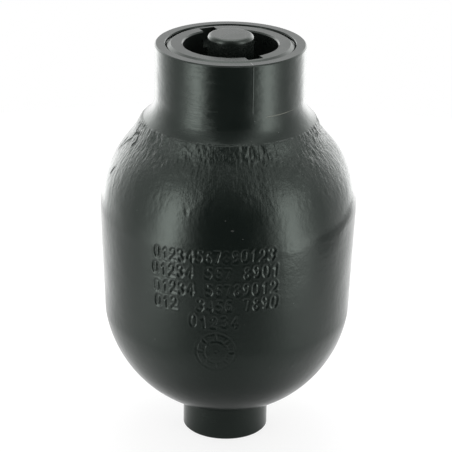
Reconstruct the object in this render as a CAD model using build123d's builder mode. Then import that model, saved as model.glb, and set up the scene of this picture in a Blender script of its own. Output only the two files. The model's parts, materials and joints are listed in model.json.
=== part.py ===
"""Small bladder accumulator with a bag that is fitted through the neck.

Millimetres, +Z up. The origin is the centre of the fluid boss's bottom face, on which the part stands.
Every piece is turned, moulded or wound about the Z axis, so most blocks revolve a half section drawn
in the XZ plane, where the first number of a point is a radius and the second is a height.
"""

import os
from math import acos, asin, cos, degrees, radians, sqrt, tan

from build123d import *

# ---------------------------------------------------------------- vessel, outside
rim_z = 194.0  # face of the neck, with which the ring nut is flush
neck_r = 35.0
neck_foot_z = 169.1  # where the straight neck runs into its turned fillet
neck_fillet_r = 13.0
machined_r = 40.35  # the turning tool leaves the forged skin at this radius
skin_step = 0.35  # the forged skin stands this proud of the turned fillet

belly_r = 60.4
belly_z = 114.2  # height of the widest section
shoulder_r = 49.4  # section radius of the shoulder
shoulder_angle = 47.0  # how far up the shoulder's arc runs

dome_r = 58.95
dome_z = 70.6  # centre of the closed, spun end
knee_z = 61.6  # where the slightly tapered wall meets the dome

boss_r = 20.4

# ---------------------------------------------------------------- vessel, inside
wall = 8.0
dome_extra = 1.8  # the spun end is this much thicker than the belly
inner_shoulder_r = 38.0
inner_dome_z = 71.0
floor_z = 22.2  # flat pad around the fluid passage
mouth_r = 23.0
mouth_edge_r = 2.5  # rounding that keeps the bag's neck from being cut
lip_pocket_z = 158.5  # floor of the pocket that takes the bag's lip
lip_pocket_r = 27.3
ledge_z = 162.5  # ledge that stops the closing plate
plate_bore_r = 28.6
relief_low_z = 174.5  # undercut below the nut's thread
relief_high_z = 177.5
relief_r = 30.2
thread_r = 29.37  # M60 x 2 at its pitch diameter
entry_z = 191.5  # the thread starts below a plain entry bore
entry_r = 30.25

# ---------------------------------------------------------------- fluid port, G1/2
port_r = 9.5
port_mouth_r = 10.7
port_depth = 16.0
drill_half_angle = 59.0
passage_r = 6.0

# ---------------------------------------------------------------- closing plate and ring nut
plate_r = 28.5
plate_top_z = 176.0
spigot_r = 20.3
spigot_z = 159.0
groove_r = 26.25
groove_z = 167.0
groove_width = 4.8
o_ring_width = 3.0  # axial width of the squeezed ring

nut_r = 29.33
nut_bore_r = 22.0
nut_edge_width = 1.7  # flat bevel around the nut's face
nut_edge_depth = 0.9
nut_slot_width = 7.5
nut_slot_depth = 8.0
nut_slot_r = 26.3
nut_slot_angle = -64.0  # direction of the first slot, from +X

# ---------------------------------------------------------------- bag
bag_gap = 0.4  # to the vessel's wall
bag_wall = 2.2
bag_foot = 8.0  # thickness of the rubber over the button
bag_foot_edge_r = 7.0
lip_r = 27.1
lip_edge_r = 1.2
button_r = 12.5
button_thickness = 3.0
button_neck_r = 4.0
button_head_r = 7.0

# ---------------------------------------------------------------- gas valve
stem_low_z = 157.5
stem_thread_r = 7.0
hex_flats = 22.0
hex_height = 6.0
post_r = 7.7  # thread of the protective cap
post_top_z = 190.0
nozzle_r = 3.85
nozzle_top_z = 193.0
core_bore_r = 2.6
gas_bore_r = 2.2
core_seat_z = 183.0

cap_r = 10.75
cap_top_z = 198.4
cap_ceiling_z = 195.2
cap_edge_r = 2.0

# ---------------------------------------------------------------- valve core
barrel_top_z = 191.5
barrel_head_z = 187.0
barrel_low_z = 178.5
barrel_r = 1.95
spring_floor_z = 180.0
spring_bore_r = 1.35
pin_r = 0.5
pin_clearance = 0.08
pin_top_z = 192.4
pin_flange_z = 188.3
spring_wire_r = 0.14
spring_turns = 8

clearance = 0.05
os.makedirs("parts", exist_ok=True)


def ring(inner_r, outer_r, low_z, high_z):
    """Half section of a plain ring."""
    with BuildSketch(Plane.XZ) as section:
        with BuildLine():
            Polyline((inner_r, low_z), (outer_r, low_z), (outer_r, high_z), (inner_r, high_z), close=True)
        make_face()
    return section.sketch


def cavity(inset, low_z, high_z):
    """Half section of the vessel's inside, drawn in by an inset and cut off at two heights."""
    mouth = mouth_r - inset
    shoulder = inner_shoulder_r - inset
    dome = belly_r - wall - dome_extra - inset
    centre_r = belly_r - wall - inner_shoulder_r
    mouth_angle = degrees(acos((mouth - centre_r) / shoulder))
    floor_angle = degrees(asin((low_z - inner_dome_z) / dome))
    with BuildSketch(Plane.XZ) as section:
        with BuildLine():
            arc = CenterArc((centre_r, belly_z), shoulder, mouth_angle, -mouth_angle)
            bottom = CenterArc((0, inner_dome_z), dome, floor_angle, -floor_angle)
            Line(arc @ 1, bottom @ 1)
            Polyline(arc @ 0, (mouth, high_z), (0, high_z), (0, low_z), bottom @ 0)
        make_face()
        mouth_corner = section.vertices().sort_by_distance(arc @ 0)[0]
        fillet(mouth_corner, mouth_edge_r + inset)
    return section.sketch


# ---------------------------------------------------------------- shell
run_out_angle = degrees(acos((neck_r + neck_fillet_r - machined_r) / neck_fillet_r))
knee_r = sqrt(dome_r**2 - (knee_z - dome_z) ** 2)
dome_start = degrees(asin((knee_z - dome_z) / dome_r))
dome_sweep = -degrees(acos(boss_r / dome_r)) - dome_start

with BuildPart() as shell:
    with BuildSketch(Plane.XZ):
        with BuildLine():
            neck = Polyline((0, rim_z), (neck_r, rim_z), (neck_r, neck_foot_z))
            turned = CenterArc((neck_r + neck_fillet_r, neck_foot_z), neck_fillet_r, 180, run_out_angle)
            skin_edge = Line(turned @ 1, turned @ 1 + Vector(skin_step, 0))
            shoulder = CenterArc((belly_r - shoulder_r, belly_z), shoulder_r, shoulder_angle, -shoulder_angle)
            Line(skin_edge @ 1, shoulder @ 0)
            Line(shoulder @ 1, (knee_r, knee_z))
            dome = CenterArc((0, dome_z), dome_r, dome_start, dome_sweep)
            Polyline(dome @ 1, (boss_r, 0), (0, 0), neck @ 0)
        make_face()
    revolve(axis=Axis.Z)

    # inside of the vessel, up to the floor of the lip's pocket
    revolve(cavity(0, floor_z, lip_pocket_z), axis=Axis.Z, mode=Mode.SUBTRACT)

    # stepped bore of the neck
    with BuildSketch(Plane.XZ):
        with BuildLine():
            Polyline(
                (0, lip_pocket_z),
                (lip_pocket_r, lip_pocket_z),
                (lip_pocket_r, ledge_z),
                (plate_bore_r, ledge_z),
                (plate_bore_r, relief_low_z - 0.9),
                (relief_r, relief_low_z),
                (relief_r, relief_high_z),
                (thread_r, relief_high_z + 0.8),
                (thread_r, entry_z),
                (entry_r, entry_z + 0.9),
                (entry_r, rim_z),
                (0, rim_z),
                close=True,
            )
        make_face()
    revolve(axis=Axis.Z, mode=Mode.SUBTRACT)

    # threaded port with its drill point, and the narrow fluid passage above it
    with BuildSketch(Plane.XZ):
        with BuildLine():
            Polyline(
                (0, 0),
                (port_mouth_r, 0),
                (port_r, port_mouth_r - port_r),
                (port_r, port_depth),
                (passage_r, port_depth + (port_r - passage_r) / tan(radians(drill_half_angle))),
                (passage_r, floor_z),
                (0, floor_z),
                close=True,
            )
        make_face()
    revolve(axis=Axis.Z, mode=Mode.SUBTRACT)

    rings = shell.edges().filter_by(GeomType.CIRCLE)

    def ring_edge(radius, height):
        return rings.sort_by_distance((radius, 0, height))[0]

    blend_edge = ring_edge((shoulder @ 0).X, (shoulder @ 0).Y)
    knee_edge = ring_edge(knee_r, knee_z)
    boss_root = ring_edge(boss_r, (dome @ 1).Y)
    chamfer(ring_edge(neck_r, rim_z), 0.5)
    chamfer(ring_edge(entry_r, rim_z), 0.2)
    chamfer(ring_edge(boss_r, 0), 0.5)
    fillet(blend_edge, 12)
    fillet(knee_edge, 20)
    fillet(boss_root, 1.2)
shell.part.label = "shell"
export_step(shell.part, "parts/shell.step")


# ---------------------------------------------------------------- ring nut
with BuildPart() as ring_nut:
    with BuildSketch(Plane.XZ):
        with BuildLine():
            Polyline(
                (nut_bore_r, plate_top_z),
                (nut_r - 1.2, plate_top_z),
                (nut_r, plate_top_z + 1.2),
                (nut_r, rim_z - nut_edge_depth),
                (nut_r - nut_edge_width, rim_z),
                (nut_bore_r, rim_z),
                close=True,
            )
        make_face()
    revolve(axis=Axis.Z)
    bore_edges = ring_nut.edges().filter_by(GeomType.CIRCLE).group_by(SortBy.RADIUS)[0]
    chamfer(bore_edges, 0.6)
    # two spanner slots, milled across the bore's edge from above
    with BuildSketch(Plane.XY.offset(rim_z).rotated((0, 0, nut_slot_angle))):
        Rectangle(2 * nut_slot_r, nut_slot_width)
    extrude(amount=-nut_slot_depth, mode=Mode.SUBTRACT)
ring_nut.part.label = "ring_nut"
export_step(ring_nut.part, "parts/ring_nut.step")

# ---------------------------------------------------------------- closing plate
valve_groove_r = 9.7  # recess in the plate's face for the stem's seal
valve_groove_depth = 1.6

with BuildPart() as closing_plate:
    with BuildSketch(Plane.XZ):
        with BuildLine():
            Polyline(
                (stem_thread_r + clearance, spigot_z),
                (spigot_r - 0.8, spigot_z),
                (spigot_r, spigot_z + 0.8),
                (spigot_r, ledge_z),
                (plate_r - 0.6, ledge_z),
                (plate_r, ledge_z + 0.6),
                (plate_r, groove_z),
                (groove_r, groove_z),
                (groove_r, groove_z + groove_width),
                (plate_r, groove_z + groove_width),
                (plate_r, plate_top_z - 0.8),
                (plate_r - 0.8, plate_top_z),
                (valve_groove_r, plate_top_z),
                (valve_groove_r, plate_top_z - valve_groove_depth),
                (stem_thread_r + clearance, plate_top_z - valve_groove_depth),
                close=True,
            )
        make_face()
    revolve(axis=Axis.Z)
closing_plate.part.label = "closing_plate"
export_step(closing_plate.part, "parts/closing_plate.step")

# the seal sits low in the groove, where pressure pushes it up against its backup ring
with BuildPart() as plate_o_ring:
    with BuildSketch(Plane.XZ):
        with Locations(((groove_r + plate_bore_r) / 2, groove_z + 1.7)):
            Ellipse((plate_bore_r - groove_r) / 2 - clearance, o_ring_width / 2)
    revolve(axis=Axis.Z)
plate_o_ring.part.label = "plate_o_ring"
export_step(plate_o_ring.part, "parts/plate_o_ring.step")

with BuildPart() as plate_backup_ring:
    backup_top_z = groove_z + groove_width
    revolve(
        ring(groove_r + clearance, plate_bore_r - clearance, backup_top_z - 1.4, backup_top_z),
        axis=Axis.Z,
    )
plate_backup_ring.part.label = "plate_backup_ring"
export_step(plate_backup_ring.part, "parts/plate_backup_ring.step")

# ---------------------------------------------------------------- bladder and its button
button_top_z = floor_z + button_thickness
button_head_z = button_top_z + 2.0
button_crown_z = button_head_z + 1.6

with BuildPart() as bladder_button:
    with BuildSketch(Plane.XZ):
        with BuildLine():
            Polyline(
                (0, floor_z),
                (button_r - 1.0, floor_z),
                (button_r, floor_z + 1.0),
                (button_r, button_top_z - 0.6),
                (button_r - 0.6, button_top_z),
                (button_neck_r, button_top_z),
                (button_neck_r, button_head_z),
                (button_head_r, button_head_z),
                (button_head_r, button_crown_z),
                (0, button_crown_z),
                close=True,
            )
        make_face()
    revolve(axis=Axis.Z)
bladder_button.part.label = "bladder_button"
export_step(bladder_button.part, "parts/bladder_button.step")

with BuildPart() as bladder:
    revolve(cavity(bag_gap, floor_z + bag_gap, ledge_z), axis=Axis.Z)
    # moulded lip, clamped in its pocket by the plate
    revolve(ring(0, lip_r, lip_pocket_z, ledge_z), axis=Axis.Z)
    outermost = bladder.edges().filter_by(GeomType.CIRCLE).filter_by_position(Axis.Z, lip_pocket_z, ledge_z)
    fillet(outermost.filter_by(lambda edge: abs(edge.radius - lip_r) < clearance), lip_edge_r)
    # gas space, with thicker rubber left over the button
    foot_z = button_top_z + bag_foot
    revolve(cavity(bag_gap + bag_wall, foot_z, ledge_z), axis=Axis.Z, mode=Mode.SUBTRACT)
    circles = bladder.edges().filter_by(GeomType.CIRCLE)
    foot_edges = circles.filter_by_position(Axis.Z, foot_z - 0.1, foot_z + 0.1)
    fillet(foot_edges, bag_foot_edge_r)
    # pocket moulded around the button
    with BuildSketch(Plane.XZ):
        with BuildLine():
            Polyline(
                (0, floor_z),
                (button_r + clearance, floor_z),
                (button_r + clearance, button_top_z + clearance),
                (button_neck_r + clearance, button_top_z + clearance),
                (button_neck_r + clearance, button_head_z - clearance),
                (button_head_r + clearance, button_head_z - clearance),
                (button_head_r + clearance, button_crown_z + clearance),
                (0, button_crown_z + clearance),
                close=True,
            )
        make_face()
    revolve(axis=Axis.Z, mode=Mode.SUBTRACT)
bladder.part.label = "bladder"
export_step(bladder.part, "parts/bladder.step")

# ---------------------------------------------------------------- gas valve stem
hex_top_z = plate_top_z + hex_height

with BuildPart() as gas_valve_body:
    # hexagon with its corners turned off
    with BuildSketch(Plane.XY.offset(plate_top_z)):
        RegularPolygon(hex_flats / 2, 6, major_radius=False)
    extrude(amount=hex_height)
    with BuildSketch(Plane.XZ):
        with BuildLine():
            corner_r = hex_flats / 2 / cos(radians(30))
            Polyline(
                (0, plate_top_z),
                (corner_r, plate_top_z),
                (corner_r, hex_top_z - 1.1),
                (hex_flats / 2 - 0.5, hex_top_z),
                (0, hex_top_z),
                close=True,
            )
        make_face()
    revolve(axis=Axis.Z, mode=Mode.INTERSECT)
    # threaded shank, post for the protective cap, and nozzle
    with BuildSketch(Plane.XZ):
        with BuildLine():
            Polyline(
                (0, stem_low_z),
                (stem_thread_r - 1.0, stem_low_z),
                (stem_thread_r, stem_low_z + 1.0),
                (stem_thread_r, hex_top_z - 1.0),
                (post_r - 0.9, hex_top_z - 1.0),
                (post_r - 0.9, hex_top_z + 1.6),
                (post_r, hex_top_z + 2.5),
                (post_r, post_top_z - 0.8),
                (post_r - 0.8, post_top_z),
                (nozzle_r, post_top_z),
                (nozzle_r, nozzle_top_z - 0.5),
                (nozzle_r - 0.5, nozzle_top_z),
                (0, nozzle_top_z),
                close=True,
            )
        make_face()
    revolve(axis=Axis.Z)
    # bore for the core, its seat cone, and the gas passage below
    with BuildSketch(Plane.XZ):
        with BuildLine():
            Polyline(
                (0, stem_low_z),
                (gas_bore_r + 1.0, stem_low_z),
                (gas_bore_r, stem_low_z + 1.0),
                (gas_bore_r, core_seat_z),
                (core_bore_r, core_seat_z + 1.5),
                (core_bore_r, nozzle_top_z),
                (0, nozzle_top_z),
                close=True,
            )
        make_face()
    revolve(axis=Axis.Z, mode=Mode.SUBTRACT)
gas_valve_body.part.label = "gas_valve_body"
export_step(gas_valve_body.part, "parts/gas_valve_body.step")

with BuildPart() as gas_valve_o_ring:
    with BuildSketch(Plane.XZ):
        with Locations(((stem_thread_r + valve_groove_r) / 2, plate_top_z - valve_groove_depth / 2)):
            Ellipse(1.15, valve_groove_depth / 2 - clearance / 2)
    revolve(axis=Axis.Z)
gas_valve_o_ring.part.label = "gas_valve_o_ring"
export_step(gas_valve_o_ring.part, "parts/gas_valve_o_ring.step")

# ---------------------------------------------------------------- valve core
gasket_low_z = core_seat_z + 0.3
gasket_top_z = core_seat_z + 2.2

with BuildPart() as valve_core_barrel:
    with BuildSketch(Plane.XZ):
        with BuildLine():
            Polyline(
                (pin_r + pin_clearance, barrel_low_z),
                (barrel_r - 0.5, barrel_low_z),
                (barrel_r, barrel_low_z + 0.5),
                (barrel_r, gasket_low_z),
                (barrel_r - 0.3, gasket_low_z),
                (barrel_r - 0.3, gasket_top_z),
                (barrel_r, gasket_top_z),
                (barrel_r, barrel_head_z),
                (core_bore_r - clearance, barrel_head_z + 0.6),
                (core_bore_r - clearance, barrel_top_z),
                (spring_bore_r, barrel_top_z),
                (spring_bore_r, spring_floor_z),
                (pin_r + pin_clearance, spring_floor_z),
                close=True,
            )
        make_face()
    revolve(axis=Axis.Z)
    # two flats for the fork of the valve key
    with BuildSketch(Plane.XY.offset(barrel_top_z)):
        with Locations((core_bore_r, 0), (-core_bore_r, 0)):
            Rectangle(2.0, 2 * core_bore_r)
    extrude(amount=-1.8, mode=Mode.SUBTRACT)
valve_core_barrel.part.label = "valve_core_barrel"
export_step(valve_core_barrel.part, "parts/valve_core_barrel.step")

with BuildPart() as valve_core_gasket:
    with BuildSketch(Plane.XZ):
        with BuildLine():
            Polyline(
                (barrel_r - 0.25, gasket_low_z + clearance),
                (gas_bore_r - 0.02, gasket_low_z + clearance),
                (core_bore_r - clearance, core_seat_z + 1.6),
                (core_bore_r - clearance, gasket_top_z - clearance),
                (barrel_r - 0.25, gasket_top_z - clearance),
                close=True,
            )
        make_face()
    revolve(axis=Axis.Z)
valve_core_gasket.part.label = "valve_core_gasket"
export_step(valve_core_gasket.part, "parts/valve_core_gasket.step")

cup_top_z = barrel_low_z - 0.5
cup_floor_z = barrel_low_z - 1.15
cup_low_z = cup_floor_z - 0.6
cup_r = 1.9

with BuildPart() as valve_core_pin:
    with BuildSketch(Plane.XZ):
        with BuildLine():
            Polyline(
                (0, cup_low_z - 0.4),
                (0.8, cup_low_z - 0.4),
                (0.8, cup_low_z),
                (pin_r, cup_low_z),
                (pin_r, pin_flange_z),
                (spring_bore_r - pin_clearance, pin_flange_z),
                (spring_bore_r - pin_clearance, pin_flange_z + 0.5),
                (pin_r, pin_flange_z + 0.5),
                (pin_r, pin_top_z - 0.2),
                (pin_r - 0.2, pin_top_z),
                (0, pin_top_z),
                close=True,
            )
        make_face()
    revolve(axis=Axis.Z)
valve_core_pin.part.label = "valve_core_pin"
export_step(valve_core_pin.part, "parts/valve_core_pin.step")

with BuildPart() as valve_core_cup:
    revolve(ring(pin_r + 0.02, cup_r, cup_low_z, cup_floor_z), axis=Axis.Z)
    revolve(ring(cup_r - 0.2, cup_r, cup_floor_z, cup_top_z), axis=Axis.Z)
valve_core_cup.part.label = "valve_core_cup"
export_step(valve_core_cup.part, "parts/valve_core_cup.step")

with BuildPart() as valve_core_seat_seal:
    revolve(ring(pin_r + 0.02, cup_r - 0.22, cup_floor_z, barrel_low_z - 0.02), axis=Axis.Z)
valve_core_seat_seal.part.label = "valve_core_seat_seal"
export_step(valve_core_seat_seal.part, "parts/valve_core_seat_seal.step")

# wound clear of the bore and the pin, between the barrel's floor and the pin's flange
spring_mean_r = (spring_bore_r + pin_r) / 2
spring_low_z = spring_floor_z + spring_wire_r + 0.02
spring_length = pin_flange_z - spring_wire_r - 0.02 - spring_low_z

with BuildPart() as valve_core_spring:
    with BuildLine():
        coil = Helix(spring_length / spring_turns, spring_length, spring_mean_r, center=(0, 0, spring_low_z))
    with BuildSketch(Plane(coil @ 0, z_dir=coil % 0)):
        Circle(spring_wire_r)
    sweep(is_frenet=True)
valve_core_spring.part.label = "valve_core_spring"
export_step(valve_core_spring.part, "parts/valve_core_spring.step")

# ---------------------------------------------------------------- caps
seal_cap_r = 5.2
seal_cap_low_z = post_top_z + 0.2
seal_cap_gasket_z = nozzle_top_z + 0.6
seal_cap_top_z = cap_ceiling_z - 0.4

with BuildPart() as valve_seal_cap:
    with BuildSketch(Plane.XY.offset(seal_cap_low_z)):
        Circle(seal_cap_r)
        # gripping flutes
        with PolarLocations(seal_cap_r + 0.3, 12):
            Circle(0.65, mode=Mode.SUBTRACT)
    extrude(amount=seal_cap_top_z - seal_cap_low_z)
    chamfer(valve_seal_cap.faces().sort_by(Axis.Z)[-1].edges(), 0.3)
    with BuildSketch(Plane.XY.offset(seal_cap_low_z)):
        Circle(nozzle_r + clearance)
    extrude(amount=seal_cap_gasket_z - seal_cap_low_z, mode=Mode.SUBTRACT)
valve_seal_cap.part.label = "valve_seal_cap"
export_step(valve_seal_cap.part, "parts/valve_seal_cap.step")

with BuildPart() as valve_seal_cap_gasket:
    revolve(ring(0, nozzle_r, nozzle_top_z, seal_cap_gasket_z), axis=Axis.Z)
valve_seal_cap_gasket.part.label = "valve_seal_cap_gasket"
export_step(valve_seal_cap_gasket.part, "parts/valve_seal_cap_gasket.step")

cap_groove_r = 9.5
cap_groove_depth = 1.5

with BuildPart() as protective_cap:
    with BuildSketch(Plane.XZ):
        with BuildLine():
            Polyline(
                (cap_groove_r, hex_top_z),
                (cap_r - 0.4, hex_top_z),
                (cap_r, hex_top_z + 0.4),
                (cap_r, cap_top_z),
                (0, cap_top_z),
                (0, cap_ceiling_z),
                (seal_cap_r + 1.2, cap_ceiling_z),
                (seal_cap_r + 1.2, post_top_z + 0.6),
                (post_r + clearance, post_top_z),
                (post_r + clearance, hex_top_z + cap_groove_depth),
                (cap_groove_r, hex_top_z + cap_groove_depth),
                close=True,
            )
        make_face()
    revolve(axis=Axis.Z)
    fillet(protective_cap.faces().sort_by(Axis.Z)[-1].edges(), cap_edge_r)
protective_cap.part.label = "protective_cap"
export_step(protective_cap.part, "parts/protective_cap.step")

with BuildPart() as protective_cap_o_ring:
    with BuildSketch(Plane.XZ):
        with Locations(((post_r + cap_groove_r) / 2, hex_top_z + cap_groove_depth / 2)):
            Ellipse(0.8, cap_groove_depth / 2 - clearance / 2)
    revolve(axis=Axis.Z)
protective_cap_o_ring.part.label = "protective_cap_o_ring"
export_step(protective_cap_o_ring.part, "parts/protective_cap_o_ring.step")
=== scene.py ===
"""Looks of the bladder accumulator: its forged and painted skin, the finish of every piece, light and camera.

Sizes on the part are in millimetres up to the point where a mesh is made. The nodes of materials read metres,
and the floor, the lamp and the camera are in metres too.
An azimuth is an angle round the vessel's axis: 0 faces the front (-Y), and it grows towards +X.
"""

import json
from math import acos, asin, ceil, cos, degrees, exp, hypot, pi, radians, sin, sqrt

import bpy
import numpy as np
from mathutils import Matrix, Vector, noise


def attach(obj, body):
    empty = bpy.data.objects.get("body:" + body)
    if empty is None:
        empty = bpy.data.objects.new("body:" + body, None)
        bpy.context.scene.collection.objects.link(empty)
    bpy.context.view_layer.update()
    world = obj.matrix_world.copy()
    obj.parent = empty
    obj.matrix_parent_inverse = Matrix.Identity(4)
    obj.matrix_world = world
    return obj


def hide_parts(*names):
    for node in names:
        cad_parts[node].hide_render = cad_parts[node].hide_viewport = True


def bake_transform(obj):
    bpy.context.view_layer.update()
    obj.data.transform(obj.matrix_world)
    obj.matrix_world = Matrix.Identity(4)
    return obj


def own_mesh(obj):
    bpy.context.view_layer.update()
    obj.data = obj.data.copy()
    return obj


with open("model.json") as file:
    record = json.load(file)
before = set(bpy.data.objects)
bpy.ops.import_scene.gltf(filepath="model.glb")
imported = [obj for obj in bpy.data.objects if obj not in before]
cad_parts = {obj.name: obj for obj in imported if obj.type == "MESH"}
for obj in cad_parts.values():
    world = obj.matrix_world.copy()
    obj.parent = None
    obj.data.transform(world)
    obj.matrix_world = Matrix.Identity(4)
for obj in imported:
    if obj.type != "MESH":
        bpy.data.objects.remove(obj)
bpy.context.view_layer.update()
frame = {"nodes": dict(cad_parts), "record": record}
MM = 0.001

# ---------------------------------------------------------------- outline of the vessel, as in the CAD
RIM_Z = 194.0
NECK_R = 35.0
NECK_FOOT_Z = 169.1
NECK_FILLET_R = 13.0
MACHINED_R = 40.35
SKIN_STEP = 0.35  # the forged skin stands this proud of the fillet's edge
SHOULDER_LEAN = 25.7  # how far the skin's normal leans up where it meets the fillet
RIM_EDGE, BORE_EDGE = 0.5, 0.2  # chamfers of the rim's outer and inner edge
BELLY_R = 60.4
BELLY_Z = 114.2
SHOULDER_R = 49.4
SHOULDER_ANGLE = 47.0
DOME_R = 58.95
DOME_Z = 70.6
KNEE_Z = 61.6
BOSS_R = 20.4
BOSS_EDGE = 0.5

WALL = 8.0
DOME_EXTRA = 1.8
INNER_SHOULDER_R = 38.0
INNER_DOME_Z = 71.0
FLOOR_Z = 22.2
MOUTH_R = 23.0
POCKET_Z, POCKET_R = 158.5, 27.3
LEDGE_Z = 162.5
PLATE_BORE_R = 28.6
RELIEF_LOW_Z, RELIEF_HIGH_Z, RELIEF_R = 174.5, 177.5, 30.2
THREAD_R = 29.37
ENTRY_Z, ENTRY_R = 191.5, 30.25
RELIEF_RUN_IN, RELIEF_RUN_OUT, ENTRY_RUN_IN = 0.9, 0.8, 0.9  # heights of the slopes between these bores
PORT_R, PORT_MOUTH_R, PORT_DEPTH = 9.5, 10.7, 16.0
PASSAGE_R, PASSAGE_Z = 6.0, 18.1

# ---------------------------------------------------------------- mesh of the vessel
SECTORS = 96  # each ring has this many equal sectors, and each sector is cut into a few steps
INSIDE, PLAIN, SKIN, FINE = 1, 2, 5, 10  # steps in a sector
# distance from one ring to the next on the outside
STAMP_PITCH, MARK_PITCH, EDGE_PITCH, UPPER_PITCH, FOLD_PITCH, SKIN_PITCH = 0.5, 0.54, 0.5, 0.65, 0.85, 1.1
ROOT_PITCH, FLANK_PITCH, DOME_PITCH = 0.4, 1.0, 2.0

STAMP_WINDOW = (-37.5, 26.25)  # azimuths between which the numbers are stamped
MARK_WINDOW = (-18.75, 7.5)  # the same for the round mark below them
STAMP_TOP_Z, STAMP_FOOT_Z = 117.5, 76.0
MARK_TOP_Z, MARK_FOOT_Z = 75.0, 53.5
FOLD_WINDOW = (-97.5, -60.0)  # the same for the folds in the left shoulder
FOLD_FOOT_Z = 131.0
EDGE_ZONE = 6.0  # the fillet and the skin are cut against each other this far from where they meet


def ring_steps(base, window=None):
    """Steps in each sector of a ring, with fine ones inside a window of azimuths."""
    steps = []
    for sector in range(SECTORS):
        middle = (sector + 0.5) * 360 / SECTORS - 180
        inside = window is not None and window[0] < middle < window[1]
        steps.append(FINE if inside else base)
    return steps


class Outline:
    """Half section of the vessel, as rows of (radius, height, steps round the ring, sharp edge)."""

    def __init__(self, radius, height, steps):
        self.rows = [(radius, height, steps, True)]

    def line(self, radius, height, steps, pitch, sharp=True):
        r0, z0 = self.rows[-1][:2]
        count = max(1, ceil(hypot(radius - r0, height - z0) / pitch))
        for i in range(1, count + 1):
            t = i / count
            self.rows.append((r0 + (radius - r0) * t, z0 + (height - z0) * t, steps, sharp and i == count))

    def arc(self, centre_r, centre_z, radius, start, end, steps, pitch, sharp=False):
        count = max(1, ceil(radius * radians(abs(end - start)) / pitch))
        for i in range(1, count + 1):
            angle = radians(start + (end - start) * i / count)
            point = (centre_r + radius * cos(angle), centre_z + radius * sin(angle))
            self.rows.append((*point, steps, sharp and i == count))

    def ease(self, radius, height, reach, passes):
        """Rounds the corner nearest to a point by averaging the rows around it."""
        near = [i for i, row in enumerate(self.rows) if hypot(row[0] - radius, row[1] - height) < reach]
        for _ in range(passes):
            for i in near:
                before, here, after = self.rows[i - 1], self.rows[i], self.rows[i + 1]
                r = (before[0] + 2 * here[0] + after[0]) / 4
                z = (before[1] + 2 * here[1] + after[1]) / 4
                self.rows[i] = (r, z, here[2], False)


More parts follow.
